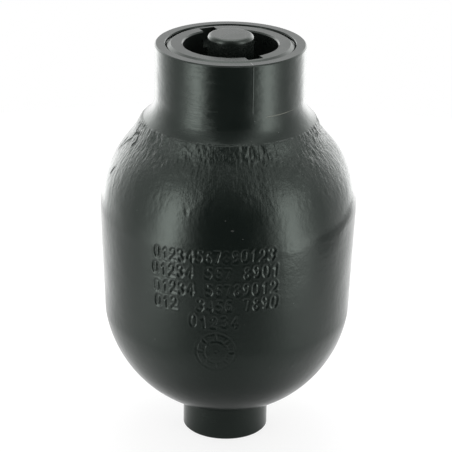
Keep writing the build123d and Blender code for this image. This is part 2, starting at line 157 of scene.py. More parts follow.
def vessel_outline():
    """Rows from the rim's inner edge down the outside, through the port and up the inside. Returns them, and
    the rows where the uneven surface starts, where the skin starts as drawn, and where it ends."""
    inside, plain, skin = ring_steps(INSIDE), ring_steps(PLAIN), ring_steps(SKIN)
    folds = ring_steps(SKIN, FOLD_WINDOW)
    stamp, mark = ring_steps(PLAIN, STAMP_WINDOW), ring_steps(PLAIN, MARK_WINDOW)

    # rim, neck and turned fillet
    outline = Outline(ENTRY_R, RIM_Z - BORE_EDGE, plain)
    outline.line(ENTRY_R + BORE_EDGE, RIM_Z, plain, 2)
    outline.line(NECK_R - RIM_EDGE, RIM_Z, plain, 1.2)
    outline.line(NECK_R, RIM_Z - RIM_EDGE, plain, 2)
    outline.line(NECK_R, NECK_FOOT_Z, plain, 1.6, sharp=False)
    fillet_centre = NECK_R + NECK_FILLET_R
    run_out = degrees(acos((fillet_centre - MACHINED_R) / NECK_FILLET_R))
    fillet_end = 180 + run_out - degrees(EDGE_ZONE / NECK_FILLET_R)
    outline.arc(fillet_centre, NECK_FOOT_Z, NECK_FILLET_R, 180, fillet_end, plain, SKIN_PITCH)
    top = len(outline.rows)
    outline.arc(fillet_centre, NECK_FOOT_Z, NECK_FILLET_R, fillet_end, 180 + run_out, folds, EDGE_PITCH)

    # forged skin: shoulder, flank with the stamped numbers, and the closed end
    first = len(outline.rows) - 1
    centre = BELLY_R - SHOULDER_R
    start = radians(SHOULDER_ANGLE)
    shoulder = (centre + SHOULDER_R * cos(start), BELLY_Z + SHOULDER_R * sin(start))
    outline.line(*shoulder, folds, UPPER_PITCH, sharp=False)
    fold_foot = degrees(asin((FOLD_FOOT_Z - BELLY_Z) / SHOULDER_R))
    stamp_top = degrees(asin((STAMP_TOP_Z - BELLY_Z) / SHOULDER_R))
    outline.arc(centre, BELLY_Z, SHOULDER_R, SHOULDER_ANGLE, fold_foot, folds, FOLD_PITCH)
    outline.arc(centre, BELLY_Z, SHOULDER_R, fold_foot, stamp_top, skin, SKIN_PITCH)
    outline.arc(centre, BELLY_Z, SHOULDER_R, stamp_top, 0, stamp, STAMP_PITCH)
    knee_r = sqrt(DOME_R**2 - (KNEE_Z - DOME_Z) ** 2)

    def flank_r(height):
        return BELLY_R + (knee_r - BELLY_R) * (BELLY_Z - height) / (BELLY_Z - KNEE_Z)

    outline.line(flank_r(STAMP_FOOT_Z), STAMP_FOOT_Z, stamp, STAMP_PITCH, sharp=False)
    outline.line(flank_r(MARK_TOP_Z), MARK_TOP_Z, plain, FLANK_PITCH, sharp=False)
    outline.line(knee_r, KNEE_Z, mark, MARK_PITCH, sharp=False)
    dome_start = degrees(asin((KNEE_Z - DOME_Z) / DOME_R))
    mark_foot = degrees(asin((MARK_FOOT_Z - DOME_Z) / DOME_R))
    boss_angle = -degrees(acos(BOSS_R / DOME_R))
    outline.arc(0, DOME_Z, DOME_R, dome_start, mark_foot, mark, MARK_PITCH)
    outline.arc(0, DOME_Z, DOME_R, mark_foot, boss_angle + 4, plain, DOME_PITCH)
    outline.arc(0, DOME_Z, DOME_R, boss_angle + 4, boss_angle, plain, ROOT_PITCH)
    last = len(outline.rows) - 1

    # boss and port
    root_z = outline.rows[-1][1]
    outline.line(BOSS_R, root_z - 2, plain, ROOT_PITCH, sharp=False)
    outline.line(BOSS_R, BOSS_EDGE, plain, 2)
    outline.line(BOSS_R - BOSS_EDGE, 0, plain, 2)
    outline.line(PORT_MOUTH_R, 0, plain, 2.5)
    outline.line(PORT_R, PORT_MOUTH_R - PORT_R, plain, 2)
    outline.line(PORT_R, PORT_DEPTH, inside, 4)
    outline.line(PASSAGE_R, PASSAGE_Z, inside, 4)
    outline.line(PASSAGE_R, FLOOR_Z, inside, 4)

    # inside of the vessel and the stepped bore of its neck
    inner_dome = BELLY_R - WALL - DOME_EXTRA
    floor_angle = degrees(asin((FLOOR_Z - INNER_DOME_Z) / inner_dome))
    outline.line(inner_dome * cos(radians(floor_angle)), FLOOR_Z, inside, 4)
    outline.arc(0, INNER_DOME_Z, inner_dome, floor_angle, 0, inside, 3)
    outline.line(BELLY_R - WALL, BELLY_Z, inside, 8, sharp=False)
    inner_centre = BELLY_R - WALL - INNER_SHOULDER_R
    mouth_angle = degrees(acos((MOUTH_R - inner_centre) / INNER_SHOULDER_R))
    outline.arc(inner_centre, BELLY_Z, INNER_SHOULDER_R, 0, mouth_angle - 8, inside, 3)
    outline.arc(inner_centre, BELLY_Z, INNER_SHOULDER_R, mouth_angle - 8, mouth_angle, inside, 0.7)
    mouth_z = outline.rows[-1][1]
    outline.line(MOUTH_R, mouth_z + 4, inside, 0.7, sharp=False)
    outline.line(MOUTH_R, POCKET_Z, inside, 4)
    outline.line(POCKET_R, POCKET_Z, inside, 5)
    outline.line(POCKET_R, LEDGE_Z, inside, 5)
    outline.line(PLATE_BORE_R, LEDGE_Z, inside, 5)
    outline.line(PLATE_BORE_R, RELIEF_LOW_Z - RELIEF_RUN_IN, inside, 12)
    outline.line(RELIEF_R, RELIEF_LOW_Z, inside, 5)
    outline.line(RELIEF_R, RELIEF_HIGH_Z, inside, 5)
    outline.line(THREAD_R, RELIEF_HIGH_Z + RELIEF_RUN_OUT, inside, 5)
    outline.line(THREAD_R, ENTRY_Z, plain, 13)
    outline.line(ENTRY_R, ENTRY_Z + ENTRY_RUN_IN, plain, 5)

    # corners that are round on the real vessel
    outline.ease(*shoulder, 3.5, 14)
    outline.ease(knee_r, KNEE_Z, 2, 6)
    outline.ease(BOSS_R, root_z, 1.6, 6)
    outline.ease(MOUTH_R, mouth_z, 2.2, 5)
    return outline.rows, top, first, last


# ---------------------------------------------------------------- stamped numbers
# strokes of each digit, in shares of its width and height
DIGITS = {
    "0": [[(0, 0.2), (0, 0.8), (0.25, 1), (0.75, 1), (1, 0.8), (1, 0.2), (0.75, 0), (0.25, 0), (0, 0.2)]],
    "1": [[(0.2, 0.75), (0.6, 1), (0.6, 0)]],
    "2": [[(0, 0.8), (0.3, 1), (0.7, 1), (1, 0.75), (0.85, 0.45), (0, 0), (1, 0)]],
    "3": [[(0, 0.9), (0.3, 1), (0.7, 1), (1, 0.78), (0.6, 0.53), (1, 0.27), (0.7, 0), (0.3, 0), (0, 0.1)]],
    "4": [[(0.75, 0), (0.75, 1), (0, 0.3), (1, 0.3)]],
    "5": [[(0.95, 1), (0.1, 1), (0.05, 0.57), (0.6, 0.6), (1, 0.33), (0.7, 0), (0.3, 0), (0, 0.1)]],
    "6": [
        [
            (0.85, 0.95), (0.35, 0.95), (0, 0.5), (0, 0.2), (0.3, 0), (0.75, 0), (1, 0.27), (0.7, 0.52),
            (0, 0.35),
        ],
    ],
    "7": [[(0, 1), (1, 1), (0.4, 0)]],
    "8": [
        [(0.5, 0.54), (0.08, 0.78), (0.3, 1), (0.7, 1), (0.92, 0.78), (0.5, 0.54)],
        [(0.5, 0.54), (0, 0.25), (0.28, 0), (0.72, 0), (1, 0.25), (0.5, 0.54)],
    ],
}
DIGITS["9"] = [[(1 - x, 1 - y) for x, y in stroke] for stroke in DIGITS["6"]]

# text, width between digits, place of its middle as (millimetres round the belly, height)
STAMP_LINES = [
    ("01234567890123", 4.15, -6.6, 112.2),
    ("01234 567 8901", 4.4, -6.2, 104.0),
    ("01234 56789012", 4.3, -6.0, 95.6),
    ("012  3456 7890", 4.3, -5.6, 87.8),
    ("01234", 4.9, -5.9, 79.6),
]
STAMP_TILT = 0.035  # the lines climb a little to the right
DIGIT_WIDTH, DIGIT_HEIGHT = 2.5, 5.2
STROKE = 0.9  # width of a stamped stroke
STAMP_DEPTH = 0.34
LIP = 0.1  # metal pushed up beside a stroke

MARK_CENTRE = (-4.9, 64.4)
MARK_R = 9.3
# radii of the mark's rings, and where its spokes start and end, as shares of MARK_R
MARK_RINGS, SPOKE_ENDS = (1.0, 0.62), (0.72, 0.9)


def wobble(seed, channel):
    """A fixed uneven value from -1 to 1, for hand-made irregularity."""
    return noise.noise(Vector((seed * 3.17 + 0.5, channel * 7.31 + 0.5, 0.5))) * 1.8


def stamp_strokes():
    """All stamped strokes as (points, how deep) in millimetres round the belly and height."""
    strokes = []
    seed = 0
    for text, pitch, middle, height in STAMP_LINES:
        for place, digit in enumerate(text):
            if digit == " ":
                continue
            seed += 1
            left = middle + (place - (len(text) - 1) / 2) * pitch - DIGIT_WIDTH / 2
            foot = height - DIGIT_HEIGHT / 2 + (left - middle) * STAMP_TILT + 0.35 * wobble(seed, 1)
            lean = 0.09 * wobble(seed, 2)
            depth = 0.85 + 0.3 * wobble(seed, 3)
            for stroke in DIGITS[digit]:
                points = [
                    (left + x * DIGIT_WIDTH + (y - 0.5) * DIGIT_HEIGHT * lean, foot + y * DIGIT_HEIGHT)
                    for x, y in stroke
                ]
                strokes.append((points, depth))
    return strokes + mark_strokes()


def mark_strokes():
    """The plain round mark: two rings with short strokes between them, and a dot."""
    middle, height = MARK_CENTRE
    strokes = []
    for share in MARK_RINGS:
        radius = share * MARK_R
        turn = [radians(a) for a in range(0, 361, 12)]
        strokes.append(([(middle + radius * cos(a), height + radius * sin(a)) for a in turn], 0.62))
    for a in range(0, 360, 45):
        x, y = cos(radians(a)), sin(radians(a))
        spoke = [(middle + share * MARK_R * x, height + share * MARK_R * y) for share in SPOKE_ENDS]
        strokes.append((spoke, 0.7))
    strokes.append(([MARK_CENTRE, (middle + 0.1, height)], 0.8))
    return strokes


def distance_to(points, u, v):
    """Distance from each place (u, v) to a line through points."""
    best = np.full(u.shape, 1e9)
    for (u0, v0), (u1, v1) in zip(points, points[1:]):
        du, dv = u1 - u0, v1 - v0
        t = np.clip(((u - u0) * du + (v - v0) * dv) / (du * du + dv * dv), 0, 1)
        best = np.minimum(best, np.hypot(u - u0 - t * du, v - v0 - t * dv))
    return best


def smooth(low, high, x):
    """0 below low, 1 above high, and a soft rise between."""
    t = np.clip((x - low) / (high - low), 0, 1)
    return t * t * (3 - 2 * t)


def groove(points, depth, width, lip, u, v, out):
    """Presses a groove along a line into the heights in out, with its metal pushed up beside it. u and v are
    the places of these heights, in the same flat millimetres as the points."""
    reach = width + 1
    us, vs = [p[0] for p in points], [p[1] for p in points]
    near = (u > min(us) - reach) & (u < max(us) + reach) & (v > min(vs) - reach) & (v < max(vs) + reach)
    if not near.any():
        return
    places = zip(u[near], v[near])
    uneven = np.array([1 + 0.5 * noise.noise(Vector((a / 1.6, b / 1.6, 0.5))) for a, b in places])
    d = distance_to(points, u[near], v[near])
    pressed = -depth * uneven * (1 - smooth(0.15 * width, 0.75 * width, d))
    raised = lip * uneven * np.exp(-(((d - width) / (0.45 * width)) ** 2))
    out[near] = np.minimum(out[near], pressed) + raised


# ---------------------------------------------------------------- forged skin
# folds, cracks and pits that the forging has left in the shoulder: (azimuth, height) of their points, depth,
# width
LAPS = [
    ([(-72.6, 154.0), (-75.5, 153.2), (-78.2, 152.3), (-79.2, 150.6), (-78.8, 149.3)], 0.45, 0.5),
    ([(-75.4, 152.8), (-72.4, 153.0), (-71.3, 151.8), (-71.2, 150.0), (-72.2, 148.3)], 0.55, 0.55),
    ([(-77.6, 159.2), (-79.0, 156.4), (-79.4, 153.4)], 0.22, 0.3),
    ([(-79.4, 149.2), (-82.0, 147.8), (-83.6, 146.0), (-85.0, 144.0)], 0.35, 0.45),
    ([(-87.2, 147.6), (-87.4, 145.2), (-86.2, 142.4)], 0.4, 0.45),
    ([(-75.4, 137.4), (-76.4, 135.8), (-77.2, 133.6)], 0.35, 0.45),
    ([(-27.0, 154.4), (-26.2, 152.8), (-25.0, 150.8)], 0.4, 0.6),
    ([(-19.3, 131.8), (-18.8, 131.2)], 0.4, 0.55),
    ([(12.8, 157.2), (13.1, 153.4), (12.9, 149.6)], 0.3, 0.6),
    ([(104.0, 151.5), (108.0, 150.4), (109.5, 148.0)], 0.45, 0.8),
    ([(171.0, 150.6), (173.5, 149.0), (172.5, 146.8)], 0.4, 0.8),
    ([(-138.0, 153.6), (-141.0, 151.6), (-140.4, 148.6)], 0.45, 0.8),
]
FOLD_R = 46.0  # the shoulder is unrolled at this radius to lay the folds out
FOLD_LIP = 0.12  # metal pushed up beside a fold
FOLD_DEEP = 0.5  # a fold this deep gets the full painted shade
SWELL = 0.75  # how far the left shoulder stands proud of a true turning
SWELL_AZIMUTH = -92.0
SWELL_REACH = 34.0  # degrees to either side
SWELL_S = 6.5  # its middle below the skin's upper edge, and its reach up and down
CALM, CALM_REACH = 0.65, 16.0  # the skin is smoother there, this many degrees to either side
SKIN_FOOT_Z, SKIN_FOOT_FADE = 17.0, 6.0  # the forged skin fades out in the root of the boss

# relief of the forged skin at its upper edge, and how far below the edge each kind fades out
RIBS, RIBS_FADE = 0.26, 11.0
LOW_RIBS, LOW_RIBS_FADE = 0.05, 30.0
CREASES, CREASES_FADE = 0.19, 15.0
CREASE_WIDTH = 0.2  # as a share of a cell
CREASE_SEED = 1795449763  # noise_vector bends the creases by offsets that are drawn from it
PEEL, PEEL_FADE = 0.12, 30.0
LUMPS, LUMPS_FADE, LOW_LUMPS = 0.22, 24.0, 0.035
WAVES, WAVES_FADE = 0.24, 75.0
FINE_END, FINE_FADE = 47.0, 9.0  # the fine kinds are gone this far down, and fade over this length


def skin_height(theta, r, z, s):
    """How far the forged skin stands out at one place. s is the distance below its upper edge."""
    x, y = r * sin(theta), -r * cos(theta)
    s = max(s, 0.0)
    patch = max(0.3, 1.0 + 1.1 * noise.noise(Vector((x / 12, y / 12, z / 9))))

    # upright ribs, a net of creases between small cells, and an orange-peel grain
    ribs = noise.noise(Vector((x / 1.3 + 9, y / 1.3, z / 8)))
    ribs += 0.6 * noise.noise(Vector((x / 0.9, y / 0.9 + 5, z / 2.4)))
    bent = Vector((x / 1.9, y / 1.9, z / 2.6)) + 0.5 * noise.noise_vector(Vector((x / 4, y / 4, z / 4)))
    nearest, second = noise.voronoi(bent)[0][:2]
    crease = -exp(-(second - nearest) / CREASE_WIDTH)
    peel = noise.noise(Vector((x / 2.0, y / 2.0, z / 2.0)))
    peel += 0.6 * noise.noise(Vector((x / 1.2, y / 1.2 + 3, z / 1.2)))
    rib_depth = RIBS * exp(-s / RIBS_FADE) + LOW_RIBS * exp(-((s / LOW_RIBS_FADE) ** 2))
    crease_depth = CREASES * exp(-s / CREASES_FADE)
    peel_depth = PEEL * exp(-((s / PEEL_FADE) ** 2))
    away = (degrees(theta) - SWELL_AZIMUTH) / CALM_REACH
    fading = min(1.0, max(0.0, (FINE_END - s) / FINE_FADE)) * (1 - CALM * exp(-(away**2)))
    fine = fading * patch * (rib_depth * ribs + crease_depth * crease + peel_depth * peel)

    # lumps and long waves
    lumps = noise.noise(Vector((x / 8, y / 8, z / 8 + 4)))
    waves = noise.noise(Vector((x / 19 + 2, y / 19, z / 17)))
    lump_depth = LUMPS * exp(-s / LUMPS_FADE) + LOW_LUMPS
    wave_depth = WAVES * exp(-((s / WAVES_FADE) ** 2))
    return fine + lump_depth * lumps + wave_depth * waves


def cut_edge(r, z, normal_r, normal_z, s, skin):
    """Cuts the forged skin and the turned fillet against each other. The lower of the two shows, so that
    their border runs in and out with the skin. Returns how far the surface stands off the drawn outline."""
    fillet_centre = (NECK_R + NECK_FILLET_R, NECK_FOOT_Z)
    if s < 0:
        # on the fillet: the skin's plane carries on upwards from the border
        skin_normal = (cos(radians(SHOULDER_LEAN)), sin(radians(SHOULDER_LEAN)))
        border = (MACHINED_R, NECK_FOOT_Z - sqrt(NECK_FILLET_R**2 - (fillet_centre[0] - MACHINED_R) ** 2))
        above = (r - border[0]) * skin_normal[0] + (z - border[1]) * skin_normal[1]
        facing = normal_r * skin_normal[0] + normal_z * skin_normal[1]
        return min(0.0, (SKIN_STEP + skin - above) / facing)
    w_r, w_z = r - fillet_centre[0], z - fillet_centre[1]
    along = w_r * normal_r + w_z * normal_z
    inside = along**2 - (w_r**2 + w_z**2 - NECK_FILLET_R**2)
    if inside <= 0:
        return SKIN_STEP * exp(-s / 3) + skin
    return min(-along - sqrt(inside), SKIN_STEP * exp(-s / 3) + skin)


def displace_skin(co, theta, height, normal, first_vertex, last_vertex, run):
    """Moves the forged skin's vertices along their normals. Returns how deep each lies in a fold, which sets
    the painted shade there.
    """
    noise.seed_set(CREASE_SEED)  # without it Blender draws them from the clock, anew in each run
    span = slice(first_vertex, last_vertex)
    t, z, s = theta[span], height[span], run[span]
    r = np.hypot(co[span, 0], co[span, 1])
    out = np.array([skin_height(*place) for place in zip(t, r, z, s)])
    away = np.abs((np.degrees(t) - SWELL_AZIMUTH + 180) % 360 - 180)
    out += SWELL * np.exp(-((away / SWELL_REACH) ** 2)) * np.exp(-(((s - SWELL_S) / SWELL_S) ** 2))

    stamped = np.zeros_like(out)
    for points, depth in stamp_strokes():
        groove(points, STAMP_DEPTH * depth, STROKE, LIP, t * BELLY_R, z, stamped)
    folded = np.zeros_like(out)
    for points, depth, width in LAPS:
        unrolled = [(radians(azimuth) * FOLD_R, there) for azimuth, there in points]
        groove(unrolled, depth, width, FOLD_LIP, t * FOLD_R, z, folded)
    out = (out + folded) * smooth(0, SKIN_FOOT_FADE, z - SKIN_FOOT_Z)

    normal_r, normal_z = np.hypot(normal[span, 0], normal[span, 1]), normal[span, 2]
    near = s < EDGE_ZONE
    places = zip(r[near], z[near], normal_r[near], normal_z[near], s[near], out[near])
    out[near] = [cut_edge(*place) for place in places]
    # nothing stands out beyond the belly's largest radius
    room = (BELLY_R - r) / np.maximum(normal_r, 0.1)
    co[span] += np.minimum(out + stamped, room)[:, None] * normal[span]
    # how deep each vertex lies in a fold, which the paint turns into painted shade
    fold_shade = np.zeros(len(co))
    fold_shade[span] = np.clip(-folded / FOLD_DEEP, 0, 1)
    return fold_shade


def build_shell():
    """The whole vessel as one closed mesh."""
    rows, top, first, last = vessel_outline()
    count = len(rows)
    starts, theta, radius, height, run, normal = [], [], [], [], [], []
    travelled = -sum(hypot(b[0] - a[0], b[1] - a[1]) for a, b in zip(rows[:first], rows[1 : first + 1]))
    for i, (r, z, steps, _) in enumerate(rows):
        before, after = rows[i - 1], rows[(i + 1) % count]
        if i > 0:
            travelled += hypot(r - before[0], z - before[1])
        dr, dz = after[0] - before[0], after[1] - before[1]
        size = hypot(dr, dz)
        starts.append(len(theta))
        for sector, parts in enumerate(steps):
            for part in range(parts):
                theta.append(-pi + 2 * pi * (sector + part / parts) / SECTORS)
                radius.append(r)
                height.append(z)
                run.append(travelled)
                normal.append((-dz / size, dr / size))
    theta, radius, height, run = map(np.array, (theta, radius, height, run))
    normal = np.array(normal)
    co = np.stack([radius * np.sin(theta), -radius * np.cos(theta), height], axis=1)
    outward = np.stack([normal[:, 0] * np.sin(theta), -normal[:, 0] * np.cos(theta), normal[:, 1]], axis=1)
    # the folds' depth goes on to the paint as painted shade
    fold_shade = displace_skin(co, theta, height, outward, starts[top], starts[last], run)

    faces, sharp = [], []
    for i in range(count):
        j = (i + 1) % count
        faces += bridge(starts[i], rows[i][2], starts[j], rows[j][2])
        if rows[i][3]:
            total = sum(rows[i][2])
            sharp += [frozenset((starts[i] + k, starts[i] + (k + 1) % total)) for k in range(total)]
    return make_mesh("vessel_skin", co * MM, faces, set(sharp), {"fold_shade": fold_shade})


def bridge(start_a, steps_a, start_b, steps_b):
    """Faces between two rings, sector by sector. Equal steps give four-sided faces."""
    total_a, total_b = sum(steps_a), sum(steps_b)
    faces = []
    a = b = 0
    for parts_a, parts_b in zip(steps_a, steps_b):
        ring_a = [start_a + (a + k) % total_a for k in range(parts_a + 1)]
        ring_b = [start_b + (b + k) % total_b for k in range(parts_b + 1)]
        if parts_a == parts_b:
            faces += [(ring_a[k], ring_b[k], ring_b[k + 1], ring_a[k + 1]) for k in range(parts_a)]
        else:
            i = j = 0
            while i < parts_a or j < parts_b:
                if j == parts_b or (i < parts_a and (i + 1) * parts_b <= (j + 1) * parts_a):
                    faces.append((ring_a[i], ring_b[j], ring_a[i + 1]))
                    i += 1
                else:
                    faces.append((ring_a[i], ring_b[j], ring_b[j + 1]))
                    j += 1
        a += parts_a
        b += parts_b
    return faces


def make_mesh(name, vertices, faces, sharp_edges=(), attributes=None):
    """A smooth-shaded mesh object, with its sharp edges and its values at each vertex."""
    mesh = bpy.data.meshes.new(name)
    mesh.from_pydata(vertices.tolist(), [], faces)
    mesh.shade_smooth()
    if sharp_edges:
        marks = mesh.attributes.new("sharp_edge", "BOOLEAN", "EDGE")
        marks.data.foreach_set("value", [frozenset(e.vertices) in sharp_edges for e in mesh.edges])
    for label, values in (attributes or {}).items():
        mesh.attributes.new(label, "FLOAT", "POINT").data.foreach_set("value", values)
    piece = bpy.data.objects.new(name, mesh)
    bpy.context.scene.collection.objects.link(piece)
    return piece


# ---------------------------------------------------------------- materials
class Tree:
    """Short ways to add and join the nodes of a material or of the world."""

    def __init__(self, owner):
        owner.use_nodes = True
        self.tree = owner.node_tree
        self.tree.nodes.clear()

    def add(self, kind, inputs=None, **settings):
        made = self.tree.nodes.new("ShaderNode" + kind)
        for key, value in settings.items():
            setattr(made, key, value)
        for key, value in (inputs or {}).items():
            if isinstance(value, bpy.types.NodeSocket):
                self.tree.links.new(value, made.inputs[key])
            else:
                made.inputs[key].default_value = value
        return made

    def math(self, operation, a, b=0.0, clamp=False):
        return self.add("Math", {0: a, 1: b}, operation=operation, use_clamp=clamp).outputs[0]

    def rise(self, value, low, high, start=0.0, end=1.0):
        """A smooth change from start to end as value goes from low to high."""
        inputs = {"Value": value, "From Min": low, "From Max": high, "To Min": start, "To Max": end}
        return self.add("MapRange", inputs, interpolation_type="SMOOTHSTEP").outputs["Result"]

    def noise(self, place, scale, detail=3.0, roughness=0.5):
        inputs = {"Vector": place, "Scale": scale, "Detail": detail, "Roughness": roughness}
        return self.add("TexNoise", inputs).outputs["Fac"]

    def mix(self, share, a, b):
        """The colour a, turned into b by a share from 0 to 1."""
        made = self.add("Mix", {"Factor": share}, data_type="RGBA")
        # a Mix node's two colours are its inputs 6 and 7, and their mixture is its output 2
        for socket, value in ((made.inputs[6], a), (made.inputs[7], b)):
            if isinstance(value, bpy.types.NodeSocket):
                self.tree.links.new(value, socket)
            else:
                socket.default_value = (*value, 1)
        return made.outputs[2]

    def bump(self, height, strength, distance, after=None):
        inputs = {"Height": height, "Strength": strength, "Distance": distance}
        if after is not None:
            inputs["Normal"] = after
        return self.add("Bump", inputs).outputs["Normal"]

    def place(self):
        """A point's place on the part, in metres: the vector, its three numbers, and how far off the axis."""
        vector = self.add("TexCoord").outputs["Object"]
        split = self.add("SeparateXYZ", {0: vector})
        x, y, z = split.outputs
        flat = self.math("SQRT", self.math("ADD", self.math("MULTIPLY", x, x), self.math("MULTIPLY", y, y)))
        return vector, x, y, z, flat

    def stretched(self, vector, x, y, z):
        return self.add("Mapping", {"Vector": vector, "Scale": (x, y, z)}).outputs[0]

    def surface(self, color, roughness, normal=None, metallic=0.0, tint=(1.0, 1.0, 1.0)):
        inputs = {"Base Color": color, "Roughness": roughness, "Metallic": metallic, "IOR": 1.5}
        inputs["Specular Tint"] = (*tint, 1)
        if normal is not None:
            inputs["Normal"] = normal
        shader = self.add("BsdfPrincipled", inputs)
        output = self.add("OutputMaterial")
        self.tree.links.new(shader.outputs[0], output.inputs["Surface"])
        return shader


def new_material(name):
    material = bpy.data.materials.new(name)
    return material, Tree(material)


PAINT_DARK, PAINT_LIGHT = (0.0052, 0.0078, 0.0066), (0.0082, 0.0112, 0.0098)
PAINT_TINT = (0.88, 1.0, 0.92)  # the gloss is slightly green
PAINT_ROUGH = (0.17, 0.24)
TURNED_ABOVE, TURNED_BELOW = (0.1580, 0.1588), (0.0135, 0.0150)  # heights over which the forged skin ends
SKIN_FULL = (0.122, 0.152)  # heights over which the fine grain of the skin sets in

SCRATCH_Z = 168.9  # thin bright line in the foot of the neck
SCRATCH_AZIMUTHS = (28.0, 60.0)
FAINT_Z = 163.4  # fainter scratch lower down, in front
FAINT_AZIMUTHS = (-30.0, 26.0)
RUN_AZIMUTH = 17.2  # thin run in the paint, down the neck
RUN_FOOT = (0.170, 0.173)
BRUSHED = [(-48, -30, 0.1, 1.0), (-14, 4, 1.0, 0.1)]  # azimuths between which the strokes swell and fade
# light chips in the paint: (azimuth, height, half width, half height)
CHIPS = [
    (2.0, 124.8, 0.8, 0.5),
    (-1.1, 129.1, 0.35, 0.35),
    (46.0, 49.6, 0.9, 0.45),
    (31.7, 150.4, 1.7, 0.2),
    (28.2, 168.9, 0.4, 0.35),
    (6.5, 121.0, 0.4, 0.3),
]


def line_round(t, azimuth, z, height, azimuths, swell, width):
    """How strongly a thin level line shows, which swells from its first azimuth and fades to its second."""
    low, high = (radians(a) for a in azimuths)
    along = t.math("MULTIPLY", t.rise(azimuth, low, low + swell), t.rise(azimuth, high - 0.3, high, 1.0, 0.0))
    off = t.math("ABSOLUTE", t.math("SUBTRACT", z, height * MM))
    return t.math("MULTIPLY", along, t.rise(off, 0.00005, width, 1.0, 0.0))


def run_in_paint(t, azimuth, z):
    """How strongly the thin run down the neck shows."""
    off = t.math("ABSOLUTE", t.math("SUBTRACT", azimuth, radians(RUN_AZIMUTH)))
    return t.math("MULTIPLY", t.rise(off, 0.001, 0.009, 1.0, 0.0), t.rise(z, *RUN_FOOT))


def brush_strokes(t, vector, azimuth, turned):
    """Strokes that run round the neck, stronger on its front left."""
    strokes = t.rise(t.noise(t.stretched(vector, 0.12, 0.12, 1.0), 650, 3, 0.6), 0.42, 0.68)
    left, right = (t.rise(azimuth, radians(a), radians(b), *ends) for a, b, *ends in BRUSHED)
    return t.math("MULTIPLY", t.math("MULTIPLY", strokes, t.math("MULTIPLY", left, right)), turned)


def paint_color(t, vector, azimuth, z, cloud, marks, fold_shade):
    """Black in two close tones, with light specks, the marks on the neck, chips, and painted shade in the
    folds.
    """
    scratch, paint_run, faint = marks
    color = t.mix(cloud, PAINT_DARK, PAINT_LIGHT)
    specks = t.add("TexVoronoi", {"Vector": vector, "Scale": 210.0}).outputs["Distance"]
    speck = t.math("MULTIPLY", t.rise(specks, 0.035, 0.075, 1.0, 0.0), t.rise(cloud, 0.52, 0.6))
    color = t.mix(t.math("MULTIPLY", speck, 0.6), color, (0.09, 0.095, 0.09))
    color = t.mix(t.math("MULTIPLY", scratch, 0.9), color, (0.15, 0.15, 0.125))
    color = t.mix(t.math("MULTIPLY", paint_run, 0.25), color, (0.03, 0.033, 0.031))
    color = t.mix(t.math("MULTIPLY", faint, 0.05), color, (0.1, 0.1, 0.09))
    for azimuth_there, height_there, wide, high in CHIPS:
        across = t.math("MULTIPLY", t.math("SUBTRACT", azimuth, radians(azimuth_there)), BELLY_R / wide)
        up = t.math("MULTIPLY", t.math("SUBTRACT", z, height_there * MM), 1 / (high * MM))
        off = t.math("ADD", t.math("MULTIPLY", across, across), t.math("MULTIPLY", up, up))
        color = t.mix(t.rise(off, 0.3, 1.1, 0.5, 0.0), color, (0.08, 0.085, 0.08))
    # painted shade: the deeper a place lies in a fold, the darker its colour
    return t.mix(fold_shade, color, (0.002, 0.0025, 0.002))


def paint_relief(t, vector, azimuth, z, turned, strokes, marks):
    """The fine relief that the mesh leaves out, on the forged skin and on what was turned."""
    scratch, paint_run, _ = marks
    skin = t.math("SUBTRACT", 1.0, turned)
    upper = t.math("MULTIPLY", t.rise(z, *SKIN_FULL), skin)
    unrolled = {"X": t.math("MULTIPLY", azimuth, 46.0), "Y": t.math("MULTIPLY", z, 160.0)}
    ribs = t.noise(t.add("CombineXYZ", unrolled).outputs[0], 1.0, 4, 0.65)
    leather = t.noise(vector, 950, 3, 0.6)
    peel = t.noise(vector, 420, 3, 0.6)
    normal = t.bump(t.math("MULTIPLY", ribs, upper), 1.0, 0.00022)
    normal = t.bump(t.math("MULTIPLY", leather, upper), 1.0, 0.00018, normal)
    normal = t.bump(t.math("MULTIPLY", peel, skin), 0.5, 0.00017, normal)

    # the paint is uneven where it was brushed on round the neck and has sagged
    brushed = t.noise(t.stretched(vector, 0.7, 0.7, 1.3), 120, 3, 0.6)
    wall = t.math("MULTIPLY", t.rise(z, 0.15, 0.17, 0.3, 1.0), t.rise(z, 0.1932, 0.1936, 1.0, 0.1))
    normal = t.bump(t.math("MULTIPLY", brushed, wall), 0.8, 0.00034, normal)
    normal = t.bump(strokes, 0.8, 0.00004, normal)
    normal = t.bump(t.noise(vector, 900, 2), 0.25, 0.00004, normal)

    # fine rings left by the tool, and the marks
    rings = t.noise(t.stretched(vector, 0.05, 0.05, 1.0), 2600, 2, 0.7)
    normal = t.bump(t.math("MULTIPLY", rings, turned), 0.35, 0.00005, normal)
    return t.bump(t.math("ADD", scratch, paint_run), 0.6, 0.00012, normal)


